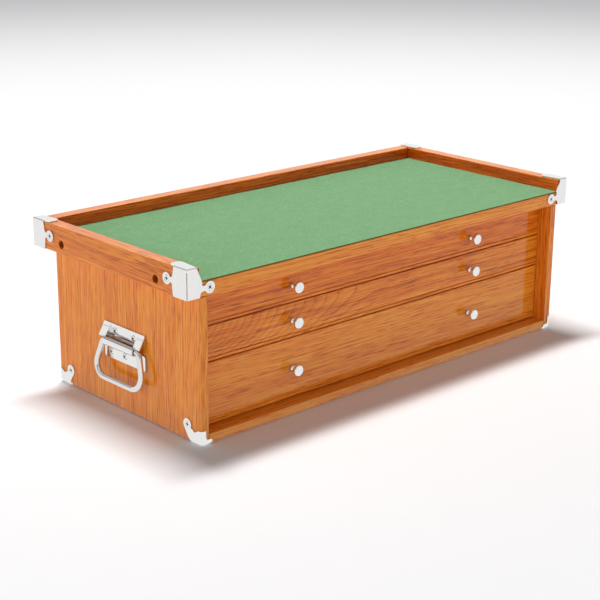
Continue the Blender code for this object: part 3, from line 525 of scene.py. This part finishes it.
# Faces that don't look up are painted dark olive brown: painted shade for the gap at the felt's edge
nap = add(tree, "ShaderNodeMix", {
    FACTOR: level, COLOUR_A: colour("#6B5C28"), COLOUR_B: nap,
}, data_type="RGBA").outputs[COLOUR_OUT]
fuzz = add(tree, "ShaderNodeBump", {"Height": clumps, "Strength": 0.5, "Distance": NAP_HEIGHT})
wool = add(tree, "ShaderNodeBsdfPrincipled", {
    "Base Color": nap, "Roughness": 0.95, "Normal": fuzz.outputs["Normal"], "Specular IOR Level": 0.2,
    "Sheen Weight": 0.25, "Sheen Roughness": 0.5, "Sheen Tint": colour("#CFE6CC"),
})
add(tree, "ShaderNodeOutputMaterial", {"Surface": wool.outputs["BSDF"]})
print("material:", felt.name)

# %% [markdown]
# ## Felt sheets
# Each felt is cut to its tray and laid in with a little glue, so it is flat but not dead flat. A grid with
# a shallow wave, given its thickness by solidify, reads as cloth at the edges where a plain slab would
# not. The four sheets are the deck's mat and one liner in each drawer, each the size of the CAD solid that
# it stands for.

# %% Felt sheets
FELT_CELL = 8 * MM
FELT_WAVE = 0.15 * MM
WAVE_LENGTHS = (90 * MM, 70 * MM)
CREASE = math.radians(38)


def new_piece(bm, name, material, body):
    """An object made from a bmesh, smooth up to its sharp edges, riding on a body."""
    mesh = bpy.data.meshes.new(name)
    bm.to_mesh(mesh)
    bm.free()
    mesh.materials.append(material)
    mesh.shade_smooth()
    mesh.set_sharp_from_angle(angle=CREASE)
    piece = bpy.data.objects.new(name, mesh)
    bpy.context.scene.collection.objects.link(piece)
    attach(piece, body)
    return piece


def felt_sheet(node, body):
    """A laid felt with the outline and thickness of its CAD solid."""
    low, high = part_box(node)
    size, centre = high - low, (low + high) / 2
    bm = bmesh.new()
    bmesh.ops.create_grid(bm, size=0.5, x_segments=round(size.x / FELT_CELL),
                          y_segments=round(size.y / FELT_CELL))
    bmesh.ops.scale(bm, vec=(size.x, size.y, 1), verts=bm.verts)
    bmesh.ops.translate(bm, vec=(centre.x, centre.y, high.z - FELT_WAVE), verts=bm.verts)
    for vert in bm.verts:
        waves = [math.sin(2 * math.pi * v / length) for v, length in zip(vert.co, WAVE_LENGTHS)]
        vert.co.z += FELT_WAVE * waves[0] * waves[1]
    bmesh.ops.recalc_face_normals(bm, faces=bm.faces)
    if bm.faces[0].normal.z < 0:
        bmesh.ops.reverse_faces(bm, faces=bm.faces)
    bmesh.ops.solidify(bm, geom=bm.faces, thickness=size.z - 2 * FELT_WAVE)
    piece = new_piece(bm, "felt_" + node.replace("_felt", ""), felt, body)
    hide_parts(node)
    return piece


felt_sheets = [felt_sheet("deck_felt", "case")]
for d in DRAWERS:
    felt_sheets.append(felt_sheet(f"drawer_{d}_felt", f"drawer_{d}"))
print("felt sheets:", [piece.name for piece in felt_sheets])

# %% [markdown]
# ## Glue in the mitres
# The rim's boards meet in mitres at the two rear corners, and the thin joint there is full of glue. It
# dries to a brown line that is dark against the wood. Each line is a thin strip set on the diagonal, with
# the round edge that glue draws back to as it dries.

# %% Glue lines
GLUE_BLOTCH = 4 * MM
GLUE_LENGTH, GLUE_THICK, GLUE_ROUND = 21 * MM, 0.2 * MM, 0.08 * MM
GLUE_INSET = 1 * MM

glue, tree = new_material("dried wood glue")
place = add(tree, "ShaderNodeTexCoord").outputs["Object"]
blotches = add(tree, "ShaderNodeTexNoise", {
    "Vector": place, "Scale": 1 / GLUE_BLOTCH, "Detail": 2.0,
}).outputs["Fac"]
tint = add(tree, "ShaderNodeMix", {
    FACTOR: blotches, COLOUR_A: colour("#2E1608"), COLOUR_B: colour("#4E2A12"),
}, data_type="RGBA").outputs[COLOUR_OUT]
rough = add(tree, "ShaderNodeMapRange", {"Value": blotches, "To Min": 0.5, "To Max": 0.7}).outputs["Result"]
amber = add(tree, "ShaderNodeBsdfPrincipled", {"Base Color": tint, "Roughness": rough, "IOR": 1.5})
add(tree, "ShaderNodeOutputMaterial", {"Surface": amber.outputs["BSDF"]})


def glue_line(hand, side):
    """The strip of glue in one mitre, from the rim's inner corner out to its outer one."""
    low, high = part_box(f"rim_{hand}")
    corner = Vector((low.x if side > 0 else high.x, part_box("rim_back")[0].y, (low.z + high.z) / 2))
    diagonal = Matrix.Rotation(side * math.radians(45), 3, "Z")
    bm = bmesh.new()
    bmesh.ops.create_cube(bm, size=1)
    bmesh.ops.scale(bm, vec=(GLUE_LENGTH, GLUE_THICK, high.z - low.z - 2 * GLUE_INSET), verts=bm.verts)
    upright = [edge for edge in bm.edges if abs(edge.verts[0].co.z - edge.verts[1].co.z) > GLUE_INSET]
    bmesh.ops.bevel(bm, geom=upright, offset=GLUE_ROUND, offset_type="OFFSET", affect="EDGES", segments=2,
                    profile=0.5, material=-1, clamp_overlap=True)
    bmesh.ops.translate(bm, vec=(side * (GLUE_INSET + GLUE_LENGTH / 2), 0, 0), verts=bm.verts)
    bmesh.ops.rotate(bm, cent=(0, 0, 0), matrix=diagonal, verts=bm.verts)
    bmesh.ops.translate(bm, vec=corner, verts=bm.verts)
    return new_piece(bm, f"glue_line_{hand}", glue, "case")


glue_lines = [glue_line(hand, side) for hand, side in SIDES.items()]
print("glue lines:", len(glue_lines))

# %% [markdown]
# ## Bright plating
# The caps, handles, knobs and screws are pressed or turned steel with bright nickel plating. It is a clean
# mirror, so its look comes from what it reflects. Faint polishing waves and a slightly uneven roughness
# keep it from looking like a perfect computer mirror. The bails have the same finish in a greyer tone,
# which is painted shade: it stands in for darker reflections along their bar.

# %% Plating materials
POLISH_WAVE, POLISH_DEPTH, POLISH_SPOT = 7 * MM, 0.02 * MM, 3 * MM


def nickel_plate(name, dull, bright):
    """Nickel plating whose tone wanders between a duller and a brighter one."""
    material, tree = new_material(name)
    place = add(tree, "ShaderNodeTexCoord").outputs["Object"]
    waves = add(tree, "ShaderNodeTexNoise", {
        "Vector": place, "Scale": 1 / POLISH_WAVE, "Detail": 1.0,
    }).outputs["Fac"]
    spots = add(tree, "ShaderNodeTexNoise", {
        "Vector": place, "Scale": 1 / POLISH_SPOT, "Detail": 3.0,
    }).outputs["Fac"]
    tint = add(tree, "ShaderNodeMix", {
        FACTOR: spots, COLOUR_A: colour(dull), COLOUR_B: colour(bright),
    }, data_type="RGBA").outputs[COLOUR_OUT]
    rough = add(tree, "ShaderNodeMapRange", {"Value": spots, "To Min": 0.06, "To Max": 0.16})
    ripple = add(tree, "ShaderNodeBump", {
        "Height": waves, "Strength": 0.3, "Distance": POLISH_DEPTH,
    }).outputs["Normal"]
    nickel = add(tree, "ShaderNodeBsdfPrincipled", {
        "Base Color": tint, "Metallic": 1.0, "Roughness": rough.outputs["Result"], "Normal": ripple,
    })
    add(tree, "ShaderNodeOutputMaterial", {"Surface": nickel.outputs["BSDF"]})
    return material


plating = nickel_plate("bright nickel plated sheet steel", "#E2E1DF", "#EDECEA")
# The bails' greyer tones are painted shade, for darker reflections along the bar
shaded_bail_plating = nickel_plate("nickel plated bail greyed as painted shade", "#DAD9D7", "#E6E5E3")
print("materials:", plating.name, "and", shaded_bail_plating.name)

# %% [markdown]
# ## Dark steel for painted shade
# The wood screws down in the rim's counterbores are real, but their dark, dull and a little uneven steel is
# painted shade that makes the deep holes read dark. The same dark steel lies in the cross recesses of the
# plated screws, as painted shade in the recesses.

# %% Dark steel material
DARK_STEEL_SPOT = 1.5 * MM

dark_shade_steel, tree = new_material("dark steel as painted shade")
place = add(tree, "ShaderNodeTexCoord").outputs["Object"]
spots = add(tree, "ShaderNodeTexNoise", {
    "Vector": place, "Scale": 1 / DARK_STEEL_SPOT, "Detail": 3.0,
}).outputs["Fac"]
tint = add(tree, "ShaderNodeMix", {
    FACTOR: spots, COLOUR_A: colour("#2B2623"), COLOUR_B: colour("#4A423C"),
}, data_type="RGBA").outputs[COLOUR_OUT]
rough = add(tree, "ShaderNodeMapRange", {"Value": spots, "To Min": 0.4, "To Max": 0.65}).outputs["Result"]
dark_steel_bsdf = add(tree, "ShaderNodeBsdfPrincipled", {"Base Color": tint, "Metallic": 0.8, "Roughness": rough})
add(tree, "ShaderNodeOutputMaterial", {"Surface": dark_steel_bsdf.outputs["BSDF"]})
print("material:", dark_shade_steel.name)

# %% [markdown]
# ## Corner caps and handle plates
# The CAD caps are right in shape, but every edge on them is knife sharp and their curves are flat facets.
# On the real caps the punch leaves a small soft edge that catches a line of light. A copy of each CAD mesh
# is merged, its flat triangles are dissolved into whole faces, and the sharp edges are bevelled.

# %% Soft-edged copies
EDGE_SOFTENING = 0.25 * MM
MERGE = 0.002 * MM
FLAT = math.radians(0.5)
SHARP = math.radians(50)
ENDS = {"front": -1, "rear": 1}


def soft_edged(node, body):
    """A plated copy of a CAD node with rounded edges, which stands for that node."""
    bm = bmesh.new()
    bm.from_mesh(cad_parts[node].data)
    bmesh.ops.remove_doubles(bm, verts=bm.verts, dist=MERGE)
    bmesh.ops.dissolve_limit(bm, angle_limit=FLAT, verts=bm.verts, edges=bm.edges)
    sharp = [edge for edge in bm.edges if edge.calc_face_angle(0) > SHARP]
    bmesh.ops.bevel(bm, geom=sharp, offset=EDGE_SOFTENING, offset_type="OFFSET", affect="EDGES",
                    segments=2, profile=0.5, material=-1, clamp_overlap=True)
    piece = new_piece(bm, "plated_" + node, plating, body)
    flatten = piece.modifiers.new("flat faces stay flat", "WEIGHTED_NORMAL")
    flatten.keep_sharp = True
    flatten.weight = 100
    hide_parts(node)
    return piece


caps = [soft_edged(f"{level}_cap_{end}_{hand}", "case")
        for level in ("top", "foot") for end in ENDS for hand in SIDES]
plates = [soft_edged(f"handle_plate_{hand}", "case") for hand in SIDES]
print("caps and plates:", len(caps) + len(plates))

# %% [markdown]
# ## Handle bails
# The bail is one length of round bar bent to a closed loop that narrows to its hinge, where it runs
# through the plate's barrel. It is made as it is on a bending machine: a circle of bar is pushed straight
# ahead, bent round a centre, pushed on, and so on until it meets its own start.

# %% Bails
BAR_RADIUS = 3.5 * MM
BAR_SIDES = 24
BAR_SEAM = 0.02 * MM
BAIL_TOP_SPAN, BAIL_FOOT_SPAN, BAIL_DROP = 68 * MM, 97 * MM, 43.5 * MM
TOP_BEND, FOOT_BEND = 5 * MM, 16 * MM
BEND_STEPS = 10
LEAN = math.radians(8)
HINGE_REACH = 312 * MM


def push(bm, ring, way):
    """Extrudes a ring of bar straight ahead, and returns the new ring."""
    grown = bmesh.ops.extrude_edge_only(bm, edges=ring)["geom"]
    bmesh.ops.translate(bm, vec=way, verts=[g for g in grown if isinstance(g, bmesh.types.BMVert)])
    return [g for g in grown if isinstance(g, bmesh.types.BMEdge) and len(g.link_faces) == 1]


def bend(bm, ring, centre, angle):
    """Bends a ring of bar about a centre in the bail's plane, and returns the last ring."""
    swept = bmesh.ops.spin(bm, geom=ring, cent=centre, axis=(1, 0, 0), dvec=(0, 0, 0), angle=angle,
                           steps=BEND_STEPS, use_merge=False)["geom_last"]
    return [g for g in swept if isinstance(g, bmesh.types.BMEdge)]


def bail_corners():
    """The loop's corners in its own plane, with the bend radius at each, clockwise from upper left."""
    top, foot = BAIL_TOP_SPAN / 2, BAIL_FOOT_SPAN / 2
    return [
        (Vector((0, top, 0)), TOP_BEND), (Vector((0, foot, -BAIL_DROP)), FOOT_BEND),
        (Vector((0, -foot, -BAIL_DROP)), FOOT_BEND), (Vector((0, -top, 0)), TOP_BEND),
    ]


def bail(hand, side):
    """One bail, hanging from its hinge with a small outward lean."""
    low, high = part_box(f"handle_bail_{hand}")
    corners = bail_corners()
    upright = Matrix.Rotation(math.radians(90), 3, "X")
    bm = bmesh.new()
    ring = bmesh.ops.create_circle(bm, segments=BAR_SIDES, radius=BAR_RADIUS)["verts"]
    bmesh.ops.rotate(bm, cent=(0, 0, 0), matrix=upright, verts=ring)
    edges = list(bm.edges)
    here = Vector((0, 0, 0))
    for index, (corner, radius) in enumerate(corners):
        before = (corner - corners[index - 1][0]).normalized() if index else Vector((0, 1, 0))
        after = (corners[(index + 1) % len(corners)][0] - corner).normalized()
        turn = before.angle(after)
        reach = radius * math.tan(turn / 2)
        start = corner - before * reach
        edges = push(bm, edges, start - here)
        inward = Vector((0, before.z, -before.y))
        edges = bend(bm, edges, start + inward * radius, -turn)
        here = corner + after * reach
    push(bm, edges, -here)
    bmesh.ops.remove_doubles(bm, verts=bm.verts, dist=BAR_SEAM)
    bmesh.ops.recalc_face_normals(bm, faces=bm.faces)
    bmesh.ops.rotate(bm, cent=(0, 0, 0), matrix=Matrix.Rotation(-side * LEAN, 3, "Y"), verts=bm.verts)
    hinge = Vector((side * HINGE_REACH, (low.y + high.y) / 2, high.z - BAR_RADIUS))
    bmesh.ops.translate(bm, vec=hinge, verts=bm.verts)
    piece = new_piece(bm, f"bail_bar_{hand}", shaded_bail_plating, f"bail_{hand}")
    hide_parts(f"handle_bail_{hand}")
    return piece


bails = [bail(hand, side) for hand, side in SIDES.items()]
for hand, piece in zip(SIDES, bails):
    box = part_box(f"handle_bail_{hand}")
    gap = [(Vector(piece.bound_box[i]) - box[i // 6]).length / MM for i in (0, 6)]
    print(f"bail {hand}: corners {gap[0]:.2f} and {gap[1]:.2f} mm from the CAD bail's")

# %% [markdown]
# ## Knobs
# Each knob is turned on a lathe: a flat disc with a rounded rim, a waisted stem and a small round foot.
# Half its outline spun once round its axis is exactly that, and the rounded rims come from bevelling the
# outline's corners before it is spun.

# %% Knobs
KNOB_STEPS = 48
# Distance from the drawer face and radius, in mm, from the foot's centre round to the disc's centre
KNOB_OUTLINE = [(0, 0), (0, 3.6), (2.2, 3.6), (2.8, 3.4), (4.2, 2.1), (5.0, 1.9), (7.0, 1.9), (8.5, 2.4),
                (9.6, 5.7), (10.6, 6.8), (12.7, 6.8), (13.5, 6.0), (13.5, 0)]
KNOB_CORNERS = 0.45 * MM


def knob(d, hand):
    """One turned knob, which rides on its drawer."""
    low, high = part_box(f"knob_{d}_{hand}")
    foot = Vector(((low.x + high.x) / 2, high.y, (low.z + high.z) / 2))
    reach = (high.y - low.y) / (KNOB_OUTLINE[-1][0] * MM)
    bm = bmesh.new()
    verts = [bm.verts.new((0, -along * MM * reach, out * MM)) for along, out in KNOB_OUTLINE]
    for pair in zip(verts, verts[1:]):
        bm.edges.new(pair)
    bmesh.ops.bevel(bm, geom=verts[1:-1], offset=KNOB_CORNERS, offset_type="OFFSET", affect="VERTICES",
                    segments=3, profile=0.5, material=-1, clamp_overlap=True)
    bmesh.ops.spin(bm, geom=[*bm.verts, *bm.edges], cent=(0, 0, 0), axis=(0, 1, 0), dvec=(0, 0, 0),
                   angle=2 * math.pi, steps=KNOB_STEPS, use_merge=True)
    bmesh.ops.remove_doubles(bm, verts=bm.verts, dist=MERGE)
    bmesh.ops.recalc_face_normals(bm, faces=bm.faces)
    bmesh.ops.translate(bm, vec=foot, verts=bm.verts)
    piece = new_piece(bm, f"turned_knob_{d}_{hand}", plating, f"drawer_{d}")
    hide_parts(f"knob_{d}_{hand}")
    return piece


knobs = [knob(d, hand) for d in DRAWERS for hand in SIDES]
print("knobs:", len(knobs))

# %% [markdown]
# ## Cross-headed screws
# Every ear and plate is held by plated wood screws with a cross recess. One head is turned by a spin, cut
# along the edges of its cross, and the cross is pressed in by an extrusion. On the caps, whose outer faces
# are the chest's outermost ones, the heads sit level with the metal, and on the handles they are domed.

# %% Screw heads
HEAD_RADIUS = 3.9 * MM
HEAD_TAPER = 1.0 * MM
HEAD_STEPS = 32
CROSS_WIDTH, CROSS_LENGTH, CROSS_DEPTH = 1.2 * MM, 4.8 * MM, 0.9 * MM
CROSS_NARROWING = 0.7
HEAD_SINK = 0.3 * MM
HEAD_DOME = 1.1 * MM


def screw_head(rise):
    """A mesh of one head that looks along +Z, with its rim at 0 and its middle domed by rise."""
    bm = bmesh.new()
    outline = [(0, -HEAD_TAPER), (HEAD_RADIUS - HEAD_TAPER, -HEAD_TAPER), (HEAD_RADIUS, 0)]
    for angle in (math.radians(30), math.radians(60)):
        outline.append((HEAD_RADIUS * math.cos(angle), rise * math.sin(angle)))
    outline.append((0, rise))
    verts = [bm.verts.new((out, 0, up)) for out, up in outline]
    for pair in zip(verts, verts[1:]):
        bm.edges.new(pair)
    bmesh.ops.spin(bm, geom=[*bm.verts, *bm.edges], cent=(0, 0, 0), axis=(0, 0, 1), dvec=(0, 0, 0),
                   angle=2 * math.pi, steps=HEAD_STEPS, use_merge=True)
    bmesh.ops.remove_doubles(bm, verts=bm.verts, dist=MERGE)
    bmesh.ops.recalc_face_normals(bm, faces=bm.faces)
    for axis in ((1, 0, 0), (0, 1, 0)):
        for reach in (-CROSS_LENGTH / 2, -CROSS_WIDTH / 2, CROSS_WIDTH / 2, CROSS_LENGTH / 2):
            bmesh.ops.bisect_plane(bm, geom=[*bm.verts, *bm.edges, *bm.faces], dist=MERGE / 10,
                                   plane_co=Vector(axis) * reach, plane_no=axis)
    cross = []
    for face in bm.faces:
        across, along = sorted(abs(v) for v in face.calc_center_median().xy)
        if face.normal.z > 0 and across < CROSS_WIDTH / 2 and along < CROSS_LENGTH / 2:
            cross.append(face)
    pressed = bmesh.ops.extrude_face_region(bm, geom=cross)["geom"]
    pressed = [g for g in pressed if isinstance(g, bmesh.types.BMVert)]
    bmesh.ops.delete(bm, geom=[face for face in cross if face.is_valid], context="FACES")
    # The cross recess takes the second slot, the dark steel, as painted shade in the recess
    for face in {face for vert in pressed for face in vert.link_faces}:
        face.material_index = 1
    bmesh.ops.translate(bm, vec=(0, 0, -CROSS_DEPTH), verts=pressed)
    bmesh.ops.scale(bm, vec=(CROSS_NARROWING, CROSS_NARROWING, 1), verts=pressed)
    mesh = bpy.data.meshes.new("screw head")
    bm.to_mesh(mesh)
    bm.free()
    return mesh


flush_head = screw_head(HEAD_SINK)
domed_head = screw_head(HEAD_DOME)
print("screw heads:", len(flush_head.polygons), "and", len(domed_head.polygons), "faces")

# %% [markdown]
# ## A screw in every hole of the caps
# Copies of a head are put in all the countersunk holes of a cap. The holes were set out in the CAD model
# from the corner of each fitting, so the same distances are used here, measured from the fitting's own
# box. Nobody lines up screw slots by hand, so each head is turned by a different amount.

# %% Screws of the caps
CAP_SKIN = 1.5 * MM
TWIST_STEP = 2.4
TOP_SIDE_HOLE = (33.4 * MM, 15.2 * MM)
TOP_FRONT_HOLE = (30 * MM, 23.5 * MM)
FOOT_SIDE_HOLE = (23.5 * MM, 18.8 * MM)
FOOT_UNDER_HOLE = (18.8 * MM, 23.5 * MM)


def screws(name, head, places, metal=plating):
    """One piece with a head at each place; a place is a point on the metal's face and its way out."""
    bm = bmesh.new()
    for index, (point, outward) in enumerate(places):
        before = len(bm.verts)
        bm.from_mesh(head)
        bm.verts.ensure_lookup_table()
        out = Vector(outward)
        turn = Vector((0, 0, 1)).rotation_difference(out).to_matrix().to_4x4()
        spot = Matrix.Translation(Vector(point) - out * HEAD_SINK)
        twist = Matrix.Rotation(index * TWIST_STEP, 4, "Z")
        bmesh.ops.transform(bm, matrix=spot @ turn @ twist, verts=bm.verts[before:])
    piece = new_piece(bm, name, metal, "case")
    # The second slot is the dark steel, painted shade in the cross recesses
    piece.data.materials.append(dark_shade_steel)
    return piece


def cap_screws(hand, side, name, end):
    """The screws of the top cap and of the foot cap at one corner of the chest."""
    low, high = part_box(f"top_cap_{name}_{hand}")
    x, y, z = high.x if side > 0 else low.x, high.y if end > 0 else low.y, high.z
    run, drop = TOP_SIDE_HOLE
    side_screw = ((x, y - end * (CAP_SKIN + run), z - CAP_SKIN - drop), (side, 0, 0))
    run, drop = TOP_FRONT_HOLE
    front_screw = ((x - side * (CAP_SKIN + run), y, z - CAP_SKIN - drop), (0, end, 0))
    top = screws(f"screws_top_{name}_{hand}", flush_head, [side_screw, front_screw])
    low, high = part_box(f"foot_cap_{name}_{hand}")
    x, y, z = high.x if side > 0 else low.x, high.y if end > 0 else low.y, low.z
    run, rise = FOOT_SIDE_HOLE
    side_screw = ((x, y - end * (CAP_SKIN + run), z + CAP_SKIN + rise), (side, 0, 0))
    run, reach = FOOT_UNDER_HOLE
    under_screw = ((x - side * (CAP_SKIN + run), y - end * (CAP_SKIN + reach), z), (0, 0, -1))
    return [top, screws(f"screws_foot_{name}_{hand}", flush_head, [side_screw, under_screw])]


print("caps to screw down:", len(caps))

# %% [markdown]
# ## Screws of the handles and the rim
# Each handle plate has two domed screws above its barrel and three below. The rim's end boards are held by
# two screws each, deep in their counterbores and dark as painted shade, so that only a glint of them shows.

# %% Screws of the handles and the rim
# Across and up from the middle of the hinge, in mm
HANDLE_HOLES = [(-17.25, 12.5), (17.25, 12.5), (-26, -14.3), (0, -14.3), (26, -14.3)]
HANDLE_AXIS_BELOW_TOP = 20.5 * MM
PLATE_FACE = 1.8 * MM
BORE_INSET, BORE_RISE, BORE_DEPTH, BORE_PLAY = 55 * MM, 11.5 * MM, 9 * MM, 0.1 * MM


def handle_screws(hand, side):
    """The screws of one handle plate."""
    low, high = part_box(f"handle_plate_{hand}")
    board_low, board_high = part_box(f"case_{hand}_side")
    face = (board_high.x if side > 0 else board_low.x) + side * PLATE_FACE
    hinge_z = high.z - HANDLE_AXIS_BELOW_TOP
    hinge_y = (low.y + high.y) / 2
    places = [((face, hinge_y + y * MM, hinge_z + z * MM), (side, 0, 0)) for y, z in HANDLE_HOLES]
    return screws(f"screws_handle_{hand}", domed_head, places)


def rim_screws(hand, side):
    """The screws at the bottom of one end board's counterbores."""
    low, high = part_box(f"rim_{hand}")
    head = HEAD_SINK + HEAD_TAPER + BORE_PLAY
    face = (high.x if side > 0 else low.x) - side * (BORE_DEPTH - head)
    rows = (low.y + BORE_INSET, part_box("rim_back")[1].y - BORE_INSET)
    places = [((face, y, low.z + BORE_RISE), (side, 0, 0)) for y in rows]
    # The rim's screws are all dark steel, painted shade in the counterbores
    return screws(f"screws_rim_{hand}", domed_head, places, dark_shade_steel)


screw_pieces = []
for hand, side in SIDES.items():
    for name, end in ENDS.items():
        screw_pieces += cap_screws(hand, side, name, end)
    screw_pieces += [handle_screws(hand, side), rim_screws(hand, side)]
print("groups of screws:", len(screw_pieces))
